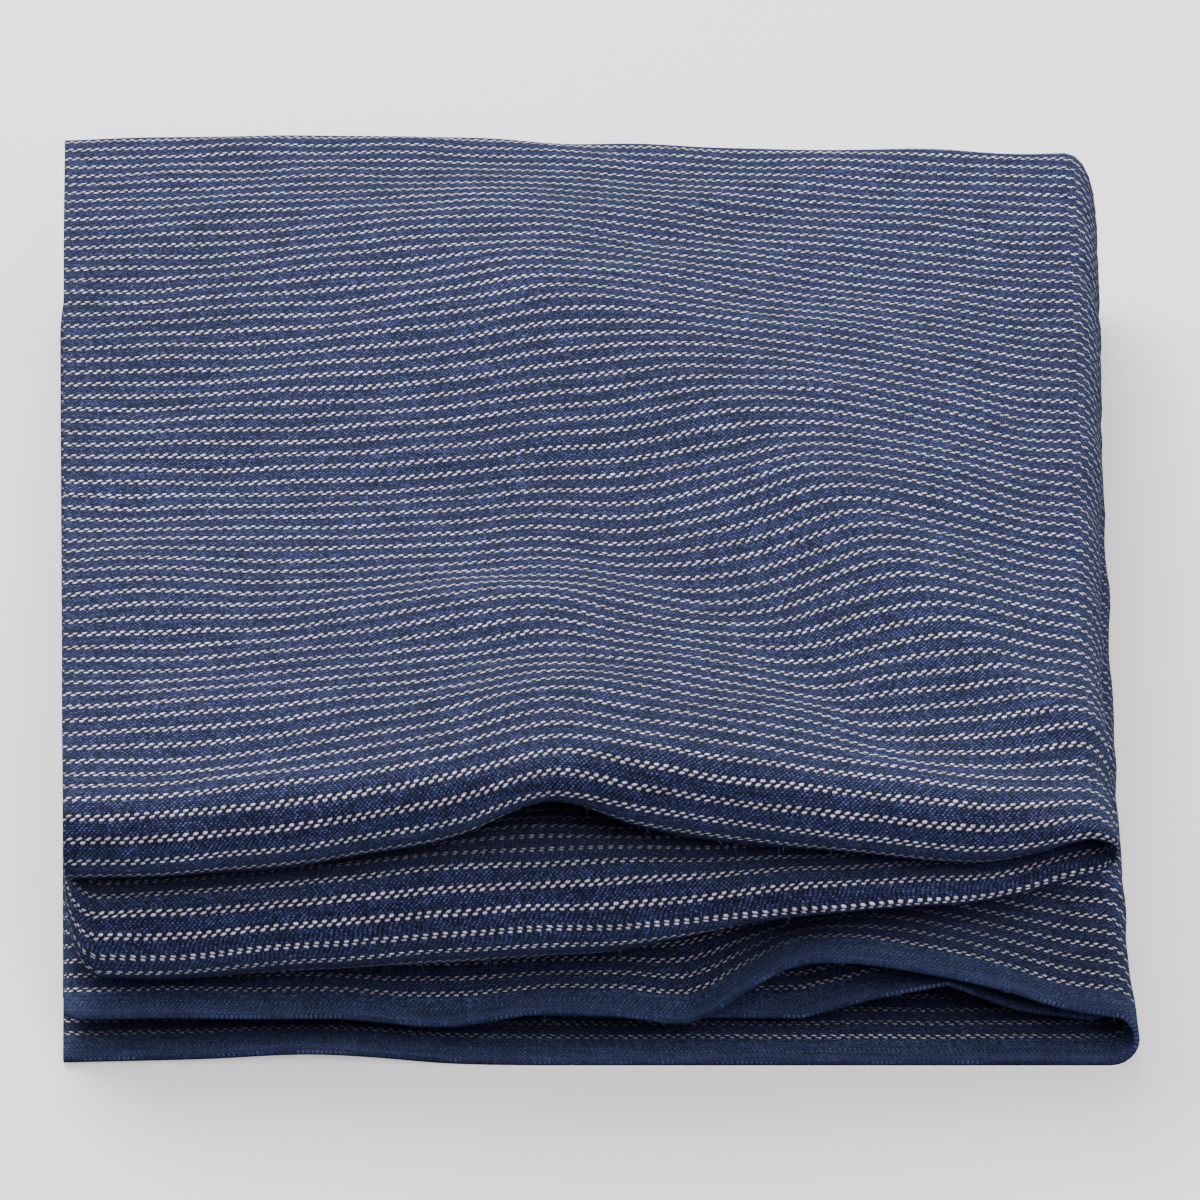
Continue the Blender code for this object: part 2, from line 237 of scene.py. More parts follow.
# Tones of the yarn, one row each: two levels of a noise, and the tone at each of them
OWN_TONE = (0.0, 1.0, 0.42, 1.65)
CLUMP_TONE = (0.32, 0.68, 0.6, 1.45)
STREAK_TONE = (0.3, 0.7, 0.72, 1.22)
SLUB_TONE = (0.3, 0.7, -0.12, 0.14)
PATCH_TONE = (0.35, 0.65, -0.08, 0.08)
MOTTLE_TONE = (0.3, 0.7, 0.86, 1.16)
FLECK_SHARE = (0.66, 0.78, 0.0, 0.55)
SELVEDGE_FADE = 0.14
WHITE_SPREAD = 0.22
SELVEDGE_SPREAD = (-4.0, 0.5, 0.3, 1.0)

# Painted shade between the layers and on their undersides, in the base colour and the sheen.
# Rows of four are two levels of what is measured, and the share at each of them
OPEN_AIR_DISTANCE = 13.0
OPEN_AIR_SAMPLES = 6
OPEN_AIR = (0.04, 0.56)
UNDERSIDE_SHADE = (-0.85, -0.05, 0.3, 1.0)
STRIPE_SHADE = (0.26, 0.74, 0.8, 0.0)

# Surface of the yarn
FIBRE_HEIGHT = 0.35
BUMP_STRENGTH = 0.9
BUMP_DISTANCE = 0.36
COTTON_ROUGHNESS = 0.9
COTTON_SPECULAR = 0.15
SHEEN_WEIGHT = 0.18
SHEEN_ROUGHNESS = 0.45
SHEEN_TINT = (0.44, 0.66, 1.0, 1.0)

# Loose fibres: share of the length and of the radius at each ring, then how they lean and
# curl, and how their lengths vary
FIBRE_RINGS = ((-0.15, 1.0), (0.35, 0.9), (0.7, 0.7), (1.0, 0.3))
FIBRE_SIDES = 3
FIBRE_LEAN = 0.9
FIBRE_CURL = 0.7
FIBRE_CURL_SHARE = 0.6
FIBRE_SHORTEST = 0.25
FIBRE_SHORTNESS = 1.6
FIBRE_ABOVE_FLOOR = 0.02
FUZZ_SEED = 11
FUZZ_LONGEST = 1.7
FUZZ_RADIUS = 0.018
FUZZ_SCATTER = 0.9
FUZZ_NOISE_SCALE = 240.0
FUZZ_NOISE = (0.4, 0.65)
FUZZ_PALER = 0.25
FUZZ_ROUGHNESS = 0.8

# Where fuzz grows: not on faces that lie inside the pack, and more of it near the front
FUZZ_INSIDE_EDGE = 6.0
FUZZ_INSIDE_FRONT = 18.0
FUZZ_UPWARD = 0.3
FUZZ_FRONT_DEPTH = 30.0
FUZZ_FRONT_WEIGHT = 2.6

# Softboxes, one row each: name, place, target, watts, width, colour
SOFTBOXES = (
    ("key softbox", (-0.25, 0.55, 0.85), (0.0, 0.0, 0.02), 16.0, 0.7, (1.0, 1.0, 1.0)),
    ("front softbox", (0.4, -1.0, 0.9), (0.0, -0.05, 0.02), 9.6, 0.6, (0.97, 0.91, 1.0)),
)
FLOOR_WIDTH = 8.0
FLOOR_ROUGHNESS = 0.9
FLOOR_GLOW = 0.5
SKY_COLOUR = (0.93, 0.95, 1.0, 1.0)
SKY_STRENGTH = (-0.1, 0.8, 0.16, 0.55)

# The camera: its lens, how high it looks from, and its distance and rise from AIM_Y
LENS = 238.8
SENSOR_WIDTH = 36.0
CLIP = (0.05, 20.0)
ELEVATION = 35.0
CAMERA_AWAY = 1.086
CAMERA_RISE = 0.06276
AIM_Y = -0.09


class ClothSizes(bpy.types.PropertyGroup):
    """Sizes of the weave and the sheet."""

    thickness: FloatProperty(
        name="Thickness", description="Thickness of the cotton", default=0.00075, unit="LENGTH")
    stripe_repeat: FloatProperty(
        name="Stripe repeat", description="From one stripe to the next, in millimetres",
        default=3.0)
    stripe_width: FloatProperty(
        name="Stripe width", description="Width of a pair of off-white ends, in millimetres",
        default=1.04)
    pick_pitch: FloatProperty(
        name="Pick pitch", description="From one weft thread to the next, in millimetres",
        default=0.659)
    selvedge: FloatProperty(
        name="Selvedge", description="Plain band along the selvedge, in millimetres",
        default=5.0)
    ripple: FloatProperty(
        name="Ripple", description="Height of the small ripples, in millimetres", default=0.13)
    fuzz_count: IntProperty(
        name="Fuzz", description="Number of loose fibres", default=8000)


class ClothColours(bpy.types.PropertyGroup):
    """Colours of the yarns and the stage."""

    # The deep indigo is darker dye with painted shade between the threads; the crown is paler worn
    # yarn
    indigo_deep_and_shade: FloatVectorProperty(
        name="Deep indigo", description="Indigo between the threads", subtype="COLOR",
        default=(0.004, 0.006, 0.034))
    indigo_crown: FloatVectorProperty(
        name="Indigo", description="Indigo on top of the threads", subtype="COLOR",
        default=(0.070, 0.076, 0.200))
    white: FloatVectorProperty(
        name="Off-white", description="Undyed cotton", subtype="COLOR",
        default=(0.95, 0.88, 0.92))
    # Painted shadow: brown shade between the off-white beads, which turns to white at a bead's
    # crown
    shadow: FloatVectorProperty(
        name="Bead shadow", description="Brown tint between the off-white beads",
        subtype="COLOR", default=(0.085, 0.052, 0.06))
    # Painted shade: the colour of the cloth in the shaded folds, between layers and on undersides
    painted_shade: FloatVectorProperty(
        name="Cavity", description="Cloth deep in the folds", subtype="COLOR",
        default=(0.012, 0.013, 0.045))
    fuzz: FloatVectorProperty(
        name="Fuzz", description="Loose fibres", subtype="COLOR", default=(0.13, 0.19, 0.40))
    floor: FloatVectorProperty(
        name="Floor", description="Pale floor", subtype="COLOR", default=(0.95, 0.95, 0.95))
    floor_bounce: FloatVectorProperty(
        name="Floor bounce", description="Floor as the cloth's underside sees it",
        subtype="COLOR", default=(0.22, 0.24, 0.32))


def smooth_step(value, start, end):
    """0 before start, 1 after end, smooth between."""
    share = np.clip((value - start) / (end - start), 0.0, 1.0)
    return share * share * (3.0 - 2.0 * share)


def section_value(rows, columns, name, x):
    """One column of a table of sections, read smoothly at x."""
    places = np.array([row[0] for row in rows])
    values = np.array([row[columns.index(name)] for row in rows])
    slopes = np.gradient(values, places)
    x = np.clip(x, places[0], places[-1])
    index = np.clip(np.searchsorted(places, x) - 1, 0, len(places) - 2)
    width = places[index + 1] - places[index]
    u = (x - places[index]) / width
    return ((2 * u**3 - 3 * u**2 + 1) * values[index]
            + (u**3 - 2 * u**2 + u) * width * slopes[index]
            + (-2 * u**3 + 3 * u**2) * values[index + 1]
            + (u**3 - u**2) * width * slopes[index + 1])


def crease_height(x, y):
    """Height that the creases of the top panel add at a place."""
    height = 0.0
    for x0, y0, x1, y1, half, rise in CREASES:
        run_x, run_y = x1 - x0, y1 - y0
        length_2 = run_x**2 + run_y**2
        share = np.clip(((x - x0) * run_x + (y - y0) * run_y) / length_2, 0.0, 1.0)
        away_2 = (x - x0 - share * run_x)**2 + (y - y0 - share * run_y)**2
        height = height + rise * np.exp(-away_2 / half**2)
    return height


def top_height(x, y):
    """Height of the top panel: crest, trough, ridge, then the fall to the back."""
    crest, trough_y, trough, ridge_y, ridge, back = (
        section_value(TOP_SECTIONS, TOP_COLUMNS, name, x) for name in TOP_COLUMNS[1:])
    to_trough = smooth_step(y, CREST_Y, trough_y)
    to_ridge = smooth_step(y, trough_y, ridge_y)
    fall = np.clip((y - ridge_y) / (BACK_Y - ridge_y), 0.0, 1.0)
    fall = (np.hypot(fall, SOFT_RIDGE) - SOFT_RIDGE) / (math.hypot(1.0, SOFT_RIDGE) - SOFT_RIDGE)
    height = crest + (trough - crest) * to_trough + (ridge - trough) * to_ridge
    height = height + (back - ridge) * fall
    for bump_x, bump_y, wide, deep, rise in BUMPS:
        height = height + rise * np.exp(-((x - bump_x) / wide)**2 - ((y - bump_y) / deep)**2)
    return height


def run_height(length, run, x, y):
    """Height of one run of one length of the cloth above the floor."""
    def front(name):
        return section_value(FRONT_SECTIONS, FRONT_COLUMNS, name, x)

    def shared(key):
        return floor + RUN_SHARES[key] * (top - floor)

    top = top_height(x, y)
    near_edge = 1.0 - smooth_step(y, *EDGE_FADE)
    floor = floor_height() + front("lift") * near_edge
    near_roll = 1.0 - smooth_step(y, *ROLL_FADE)
    near_front = 1.0 - smooth_step(y, *SHELF_FADE)
    near_bulge = 1.0 - smooth_step(y - front("bulge_y"), *BULGE_FADE)
    if (length, run) == ("A", "high"):
        return top + crease_height(x, y)
    if (length, run) == ("A", "low"):
        return floor
    if run in ("turn", "high") and (length, run) != ("B", "high"):
        upper = shared(("A", "turn"))
        upper = upper + (front("lip") - upper) * near_roll
        lower = shared(("B", "turn"))
        lower = lower + (front("bulge_top") - lower) * near_bulge
        span = RUN_SHARES["A", "turn"] - RUN_SHARES["B", "turn"]
        return lower + (upper - lower) * (RUN_SHARES[length, run] - RUN_SHARES["B", "turn"]) / span
    if (length, run) == ("B", "high"):
        main = shared(("B", "high"))
        return main + (front("bulge_low") - main) * near_bulge
    shelf = shared(("B", "low"))
    shelf = shelf + (front("shelf") - shelf) * near_front
    shelf = shelf + (front("edge") - shelf) * near_edge
    if (length, run) == ("B", "low"):
        return shelf
    inner = shared(("C", "low"))
    inner = inner + (front("inner") - inner) * near_front
    if (length, run) == ("C", "low"):
        return inner
    return (inner + floor) / 2


def floor_height():
    """Height of the middle of the sheet where it lies on the floor."""
    return bpy.context.scene.cloth_sizes.thickness / MM / 2


def run_mix(table, to_high, to_turn):
    """A table's value between its low, high and turn runs."""
    value = table["low"] + (table["high"] - table["low"]) * to_high
    return value + (table["turn"] - table["high"]) * to_turn


def length_ends(length, to_high, to_turn, to_strip, y):
    """Left and right end of a length before its turns, between its runs."""
    inward = (y - FRONT_Y) / PACK_DEPTH
    waist = RIGHT_WAIST * inward * np.clip(1.0 - inward, 0.0, 1.0)**3
    left = LEFT_FLOOR_X + (LEFT_FRONT_X - LEFT_FLOOR_X) * to_high - LEFT_SKEW * inward
    if length in "BC":
        left = left + run_mix(LEFT_TURN, to_high, to_turn) + run_mix(LEFT_INSET, to_high, to_strip)
    if length in "AB":
        front = RIGHT_FLOOR_X + (RIGHT_FRONT_X - RIGHT_FLOOR_X) * to_high
        right = front + (RIGHT_FRONT_X + RIGHT_SKEW - front) * inward
        right = right - run_mix(RIGHT_OUTER, to_high, to_turn) - waist * (1.0 + to_high) / 2
        return left, right - run_mix(RIGHT_OUTER_INSET, to_high, to_strip)
    right = run_mix(RIGHT_INNER_EDGE, to_high, to_turn) + RIGHT_SKEW * inward / 2
    return left, right - run_mix(RIGHT_INNER, to_high, to_turn)


def half_turn(start, end, out, samples):
    """Half an ellipse in Y and Z from start to end, which stands out by out in Y."""
    angle = np.linspace(0.0, math.pi, samples)[:, None]
    middle = start + (end - start) * (1.0 - np.cos(angle)) / 2
    middle[:, 1] += out * np.sin(angle[:, 0])
    return middle


def length_profile(length, share):
    """Centre line across one length at a share of its width, and its two folds."""
    edge_y, wrap_y, wrap_out, nose_y, nose_out, strip_end_y = LENGTHS[length]

    def run_points(run, y):
        turned = float(run == "turn")
        left, right = length_ends(length, float(run != "low"), turned, turned, y)
        x = left + (right - left) * share
        return np.stack([x, y, run_height(length, run, x, y)], axis=1)

    if nose_y is None:
        left, right = length_ends(length, 1.0, 0.0, 0.0, np.array([FRONT_Y]))
        x = left + (right - left) * share
        nose_y = float(section_value(FRONT_SECTIONS, FRONT_COLUMNS, "bulge_y", x)[0]) + nose_out
    low = run_points("low", np.linspace(edge_y, wrap_y, RUN_SAMPLES))
    high = run_points("high", np.linspace(wrap_y, nose_y, RUN_SAMPLES))
    turn = run_points("turn", np.linspace(nose_y, strip_end_y, RUN_SAMPLES))
    wrap = half_turn(low[-1], high[0], wrap_out, TURN_SAMPLES)
    nose = half_turn(high[-1], turn[0], -nose_out, TURN_SAMPLES)
    line = np.concatenate([low, wrap[1:], high[1:], nose[1:], turn[1:]])
    steps = np.linalg.norm(np.diff(line, axis=0), axis=1)
    along = np.concatenate([[0.0], np.cumsum(steps)])
    back_turn = along[RUN_SAMPLES - 1 + TURN_SAMPLES // 2]
    front_nose = along[2 * RUN_SAMPLES + TURN_SAMPLES - 2 + TURN_SAMPLES // 2]
    return line, along, back_turn, front_nose


def eased_length(distance, full, own):
    """Length along a shorter layer that matches a distance along the outermost one."""
    slack = full - own
    start = TRUE_FROM_FRONT
    end = full - TRUE_FROM_BACK
    return distance - slack * np.clip((distance - start) / (end - start), 0.0, 1.0)


def sheet_lines(full_back, full_nose, strip_end):
    """Distances across the sheet of the mesh's lines, finer round its folds."""
    lines = [0.0]
    while lines[-1] < strip_end:
        place = lines[-1]
        near = min(abs(place - full_back), abs(place - full_nose) * NOSE_WEIGHT)
        fold = FOLD_SPACING + (1.0 - FOLD_SPACING) * float(smooth_step(near, *FOLD_REACH))
        below = smooth_step(place, *HIDDEN_START)
        below = below * (1.0 - smooth_step(place - full_back, *HIDDEN_END))
        hidden = 1.0 + HIDDEN_SPACING * float(below)
        strip = 1.0 + STRIP_SPACING * float(smooth_step(place - full_nose, *STRIP_REACH))
        lines.append(place + FINE_SPACING * fold * hidden * strip)
    lines[-1] = strip_end
    return np.array(lines)


def run_weights(lines, full_back, full_nose):
    """How far each line is from the low to the high run, and into the turned-in strip."""
    to_high = smooth_step(lines, full_back - BACK_TURN_HALF, full_back + BACK_TURN_HALF)
    to_turn = smooth_step(lines, full_nose - NOSE_HALF, full_nose + NOSE_HALF)
    to_strip = smooth_step(lines - full_nose, *STRIP_INSET)
    return to_high, to_turn, to_strip


def length_points(length, share, lines, full_back, full_nose):
    """Points of one length at a share of its width, on the sheet's lines."""
    line, along, back_turn, front_nose = length_profile(length, share)
    low = eased_length(np.minimum(lines, full_back), full_back, back_turn)
    high = front_nose - eased_length(full_nose - lines, full_nose - full_back,
                                     front_nose - back_turn)
    strip_share = (lines - full_nose) / (lines[-1] - full_nose)
    strip = front_nose + (along[-1] - front_nose) * strip_share
    place = np.where(lines <= full_back, low, np.where(lines <= full_nose, high, strip))
    y = np.interp(place, along, line[:, 1])
    z = np.interp(place, along, line[:, 2])
    left, right = length_ends(length, *run_weights(lines, full_back, full_nose), y)
    return np.stack([left + (right - left) * share, y, z], axis=1)


def turn_columns(start, end, count, reach, side):
    """Columns of points round an end turn from one length to the next."""
    half_height = np.linalg.norm((end - start)[:, 1:], axis=1) / 2
    reach = np.maximum(reach, np.sqrt(TIGHTEST_BEND * half_height))
    columns = []
    for step in range(1, count):
        angle = math.pi * step / count
        column = start + (end - start) * (1.0 - math.cos(angle)) / 2
        column[:, 0] += side * reach * math.sin(angle)
        columns.append(column)
    return columns


def sheet_points():
    """Points of the sheet's middle surface by column and line, and the lines' distances."""
    _, along, full_back, full_nose = length_profile("A", 0.5)
    lines = sheet_lines(full_back, full_nose, float(along[-1]))
    to_high, to_turn, _ = run_weights(lines, full_back, full_nose)
    plan = (("A", False, RIGHT_OUTER, 1), ("B", True, LEFT_TURN, -1),
            ("C", False, RIGHT_INNER, 1), ("D", True, None, 0))
    columns = []
    turn = None
    for number, (length, backwards, next_turn, side) in enumerate(plan):
        shares = np.linspace(0.0, 1.0, COLUMNS[length] + 1)
        shares = shares[::-1] if backwards else shares
        points = [length_points(length, share, lines, full_back, full_nose) for share in shares]
        if turn is not None:
            columns += turn_columns(columns[-1], points[0], *turn)
        columns += points
        if next_turn is not None:
            turn = (TURN_COLUMNS[number], run_mix(next_turn, to_high, to_turn), side)
    return np.array(columns), lines


def rippled(points, height):
    """The sheet with small soft ripples along its own normals, from a fixed seed."""
    random = np.random.default_rng(RIPPLE_SEED)
    along = np.gradient(points, axis=0)
    across = np.gradient(points, axis=1)
    normal = np.cross(along, across)
    normal /= np.linalg.norm(normal, axis=2, keepdims=True) + 1e-9
    x, y = points[..., 0], points[..., 1]
    ripple = np.zeros(x.shape)
    for _ in range(RIPPLE_WAVES):
        wave = random.uniform(*RIPPLE_LENGTHS)
        angle = random.uniform(-RIPPLE_TURN, RIPPLE_TURN) + math.pi / 2
        phase = random.uniform(0.0, 2 * math.pi, 2)
        bend = RIPPLE_BEND * np.sin(x / RIPPLE_BEND_LENGTH + phase[1])
        turn = 2 * math.pi * (x * math.cos(angle) + y * math.sin(angle)) / wave
        ripple += np.sin(turn + phase[0] + bend) * wave / RIPPLE_FULL_LENGTH
    ripple *= height / RIPPLE_SHARE
    left = LEFT_FRONT_X - LEFT_SKEW * (y - FRONT_Y) / PACK_DEPTH
    clear = smooth_step(points[..., 2], *RIPPLE_ABOVE_FLOOR)
    clear = clear * smooth_step(x - left, *RIPPLE_FROM_LEFT)
    return points + normal * (ripple * clear)[..., None]


def weave_coordinates(points, lines):
    """Distance along the stripes and from the selvedge at each point, in millimetres."""
    steps = np.linalg.norm(np.diff(points, axis=0), axis=2)
    along = np.concatenate([np.zeros((1, len(lines))), np.cumsum(steps, axis=0)])
    along += points[0, :, 0] - LEFT_FRONT_X
    across = np.broadcast_to(lines, along.shape)
    return np.stack([along, across], axis=2)


def grid_mesh(name, points, coordinates):
    """A mesh of quads over a grid of points, with its weave coordinates as a UV map."""
    columns, rows = points.shape[:2]
    index = np.arange(columns * rows).reshape(columns, rows)
    faces = np.stack([index[:-1, :-1], index[1:, :-1], index[1:, 1:], index[:-1, 1:]], axis=2)
    mesh = bpy.data.meshes.new(name)
    mesh.from_pydata((points.reshape(-1, 3) * MM).tolist(), [], faces.reshape(-1, 4).tolist())
    uv = mesh.uv_layers.new(name="weave")
    corners = np.zeros(len(mesh.loops), int)
    mesh.loops.foreach_get("vertex_index", corners)
    uv.data.foreach_set("uv", coordinates.reshape(-1, 2)[corners].astype(np.float32).ravel())
    return mesh


def apply_modifier(piece, name):
    """Applies one modifier of a piece, with nothing else selected."""
    bpy.ops.object.select_all(action="DESELECT")
    bpy.context.view_layer.objects.active = piece
    piece.select_set(True)
    bpy.ops.object.modifier_apply(modifier=name)


class Weave:
    """Builds a material's nodes from short sums."""

    def __init__(self, tree):
        self.tree = tree

    def node(self, kind, **settings):
        """A new node of a kind, with its settings."""
        node = self.tree.nodes.new(kind)
        for name, value in settings.items():
            setattr(node, name, value)
        return node

    def link(self, value, socket):
        """Joins a node's output to a socket, or sets the socket to a plain value."""
        if isinstance(value, bpy.types.NodeSocket):
            self.tree.links.new(value, socket)
        else:
            socket.default_value = value

    def sum(self, operation, *values):
        """What one maths node makes of its values."""
        node = self.node("ShaderNodeMath", operation=operation)
        for value, socket in zip(values, node.inputs):
            self.link(value, socket)
        return node.outputs[0]

    def ramp(self, value, low, high, bottom=0.0, top=1.0):
        """The bottom value below low, the top value above high, smooth between."""
        node = self.node("ShaderNodeMapRange", interpolation_type="SMOOTHSTEP")
        for amount, name in ((value, "Value"), (low, "From Min"), (high, "From Max"),
                             (bottom, "To Min"), (top, "To Max")):
            self.link(amount, node.inputs[name])
        return node.outputs[0]

    def mix(self, share, first, second, blend="MIX"):
        """A share of the second colour laid over the first."""
        node = self.node("ShaderNodeMix", data_type="RGBA", blend_type=blend)
        self.link(share, node.inputs["Factor"])
        for value, socket in ((first, node.inputs[6]), (second, node.inputs[7])):
            self.link(value if isinstance(value, bpy.types.NodeSocket) else (*value, 1.0), socket)
        return node.outputs[2]

    def noise(self, u, v, u_scale, v_scale, detail):
        """Noise over the sheet with its own scale along and across the stripes."""
        place = self.node("ShaderNodeCombineXYZ")
        self.link(self.sum("MULTIPLY", u, u_scale), place.inputs[0])
        self.link(self.sum("MULTIPLY", v, v_scale), place.inputs[1])
        node = self.node("ShaderNodeTexNoise")
        self.tree.links.new(place.outputs[0], node.inputs["Vector"])
        node.inputs["Scale"].default_value = 1.0
        node.inputs["Detail"].default_value = detail
        return node.outputs["Fac"]


def wandering_place(weave, u, v):
    """Where a thread really runs: it wanders a little, and no two beads are quite alike."""
    across = v
    for name, reach in (("drift", DRIFT_REACH), ("uneven", UNEVEN_REACH)):
        off = weave.sum("SUBTRACT", weave.noise(u, v, *NOISES[name]), 0.5)
        across = weave.sum("MULTIPLY_ADD", off, reach, across)
    off = weave.sum("SUBTRACT", weave.noise(u, v, *NOISES["shift"]), 0.5)
    return weave.sum("MULTIPLY_ADD", off, SHIFT_REACH, u), across


def thread_count(weave, sizes, along, across):
    """Distance from the selvedge, end and pick at a place, and whether the end is off-white.

    Ends lie across the cloth, a thicker off-white pair and six indigo ends a repeat. Picks
    lie along it, slanted as the yarn's twist slants each bead, and the off-white ends pass
    over two picks at a time.
    """
    start = weave.sum("SUBTRACT", across, sizes.selvedge)
    place = weave.sum("FLOORED_MODULO", start, sizes.stripe_repeat)
    pair_end = sizes.stripe_width / 2
    indigo_end = (sizes.stripe_repeat - sizes.stripe_width) / INDIGO_ENDS
    in_pair = weave.sum("DIVIDE", weave.sum("MINIMUM", place, sizes.stripe_width), pair_end)
    past_pair = weave.sum("MAXIMUM", weave.sum("SUBTRACT", place, sizes.stripe_width), 0.0)
    end = weave.sum("ADD", in_pair, weave.sum("DIVIDE", past_pair, indigo_end))
    white_end = weave.sum("MULTIPLY", weave.sum("LESS_THAN", place, sizes.stripe_width),
                          weave.sum("GREATER_THAN", start, 0.0))
    slant = weave.sum("SUBTRACT", weave.sum("FRACT", end), 0.5)
    slant = weave.sum("MULTIPLY", slant, BEAD_SLANT)
    finer = weave.sum("DIVIDE", weave.sum("SUBTRACT", 2.0, white_end), sizes.pick_pitch)
    return start, end, weave.sum("MULTIPLY_ADD", along, finer, slant), white_end


def crossing_relief(weave, end, pick):
    """Height of the end at a crossing, whether it lies on top, and the cloth's height."""
    end_wave = weave.sum("SINE", weave.sum("MULTIPLY", end, math.pi))
    pick_wave = weave.sum("SINE", weave.sum("MULTIPLY", pick, math.pi))
    over = weave.sum("MULTIPLY", weave.sum("SIGN", end_wave), pick_wave)
    round_end = weave.sum("POWER", weave.sum("ABSOLUTE", end_wave), END_ROUNDNESS)
    crown = weave.sum("MULTIPLY", round_end, weave.ramp(over, *CROSSING_TURN))
    warp_up = weave.ramp(crown, *WARP_UP)
    pick_crown = weave.sum("MULTIPLY", weave.sum("ABSOLUTE", pick_wave), PICK_HEIGHT)
    height = weave.sum("MAXIMUM", weave.sum("MULTIPLY", warp_up, crown), pick_crown)
    return crown, warp_up, height


def yarn_tone(weave, u, v, across, along, crossing, spread):
    """How light the yarn is: each crossing differs, with streaks, slubs and faded patches."""
    chance = weave.node("ShaderNodeTexWhiteNoise", noise_dimensions="2D")
    weave.tree.links.new(crossing, chance.inputs["Vector"])
    own = weave.ramp(chance.outputs["Value"], *OWN_TONE)
    own = weave.sum("MULTIPLY", own, weave.ramp(weave.noise(u, v, *NOISES["clump"]), *CLUMP_TONE))
    streak = weave.ramp(weave.noise(u, across, *NOISES["streak"]), *STREAK_TONE)
    slub = weave.ramp(weave.noise(along, v, *NOISES["slub"]), *SLUB_TONE)
    patch = weave.ramp(weave.noise(u, v, *NOISES["patch"]), *PATCH_TONE)
    mottle = weave.ramp(weave.noise(u, v, *NOISES["mottle"]), *MOTTLE_TONE)
    tone = weave.sum("ADD", weave.sum("ADD", streak, slub), patch)
    tone = weave.sum("MULTIPLY", tone, mottle)
    return weave.sum("MULTIPLY", tone, weave.sum("POWER", own, spread))


def cotton_material(sizes, colours):
    """Plain-woven cotton: indigo ends and picks, with a pair of off-white ends a stripe."""
    material = bpy.data.materials.new("striped cotton")
    material.use_nodes = True
    weave = Weave(material.node_tree)
    shader = material.node_tree.nodes["Principled BSDF"]
    uv = weave.node("ShaderNodeUVMap", uv_map="weave")
    parts = weave.node("ShaderNodeSeparateXYZ")
    weave.tree.links.new(uv.outputs[0], parts.inputs[0])
    u, v = parts.outputs[0], parts.outputs[1]
    along, across = wandering_place(weave, u, v)
    start, end, pick, white_end = thread_count(weave, sizes, along, across)
    crown, warp_up, height = crossing_relief(weave, end, pick)

    # Yarn colours: indigo darker between the threads from its dye and painted shade, beads with a
    # painted shadow and highlight, flecks of loose fibre and a slightly faded selvedge
    indigo = weave.mix(weave.ramp(height, *INDIGO_WEAR_AND_SHADE), colours.indigo_deep_and_shade, colours.indigo_crown)
    fleck = weave.ramp(weave.noise(u, v, *NOISES["fleck"]), *FLECK_SHARE)
    indigo = weave.mix(fleck, indigo, colours.fuzz)
    band = weave.sum("MULTIPLY", weave.sum("LESS_THAN", start, 0.0), SELVEDGE_FADE)
    indigo = weave.mix(band, indigo, colours.fuzz)
    bead = weave.mix(weave.ramp(crown, *BEAD_SHADE_TO_HIGHLIGHT), colours.shadow, colours.white)
    colour = weave.mix(warp_up, indigo, weave.mix(white_end, indigo, bead))

    # Off-white beads and the selvedge are more even than the indigo
    stripe = weave.sum("FLOOR", weave.sum("DIVIDE", start, sizes.stripe_repeat))
    crossing = weave.node("ShaderNodeCombineXYZ")
    number = weave.sum("MULTIPLY_ADD", stripe, float(INDIGO_ENDS + 2), weave.sum("FLOOR", end))
    weave.link(number, crossing.inputs[0])
    weave.link(weave.sum("FLOOR", pick), crossing.inputs[1])
    spread = weave.sum("MULTIPLY", weave.ramp(white_end, 0.0, 1.0, 1.0, WHITE_SPREAD),
                       weave.ramp(start, *SELVEDGE_SPREAD))
    tone = yarn_tone(weave, u, v, across, along, crossing.outputs[0], spread)
    grey = weave.node("ShaderNodeCombineXYZ")
    for socket in grey.inputs:
        weave.link(tone, socket)
    colour = weave.mix(1.0, colour, grey.outputs[0], "MULTIPLY")

    # Painted shade between the layers and on the undersides, where the off-white stripes fade too
    open_air = weave.node("ShaderNodeAmbientOcclusion", samples=OPEN_AIR_SAMPLES)
    open_air.inputs["Distance"].default_value = OPEN_AIR_DISTANCE * MM
    facing = weave.node("ShaderNodeSeparateXYZ")
    weave.link(weave.node("ShaderNodeNewGeometry").outputs["Normal"], facing.inputs[0])
    shade = weave.sum("MULTIPLY", weave.ramp(open_air.outputs["AO"], *OPEN_AIR),
                      weave.ramp(facing.outputs[2], *UNDERSIDE_SHADE))
    shaded_stripes = weave.sum("MULTIPLY", white_end, weave.ramp(open_air.outputs["AO"], *STRIPE_SHADE))
    dark = weave.sum("MAXIMUM", weave.sum("SUBTRACT", 1.0, shade), shaded_stripes)
    weave.link(weave.mix(dark, colour, colours.painted_shade), shader.inputs["Base Color"])

    fibre = weave.noise(u, v, *NOISES["fibre"])
    bump = weave.node("ShaderNodeBump")
    weave.link(weave.sum("MULTIPLY_ADD", fibre, FIBRE_HEIGHT, height), bump.inputs["Height"])
    bump.inputs["Strength"].default_value = BUMP_STRENGTH
    bump.inputs["Distance"].default_value = BUMP_DISTANCE * MM
    weave.tree.links.new(bump.outputs[0], shader.inputs["Normal"])
    shader.inputs["Roughness"].default_value = COTTON_ROUGHNESS
    shader.inputs["Specular IOR Level"].default_value = COTTON_SPECULAR
    # The sheen is weaker where the shade is painted
    weave.link(weave.sum("MULTIPLY", shade, SHEEN_WEIGHT), shader.inputs["Sheen Weight"])
    shader.inputs["Sheen Roughness"].default_value = SHEEN_ROUGHNESS
    shader.inputs["Sheen Tint"].default_value = SHEEN_TINT
    return material


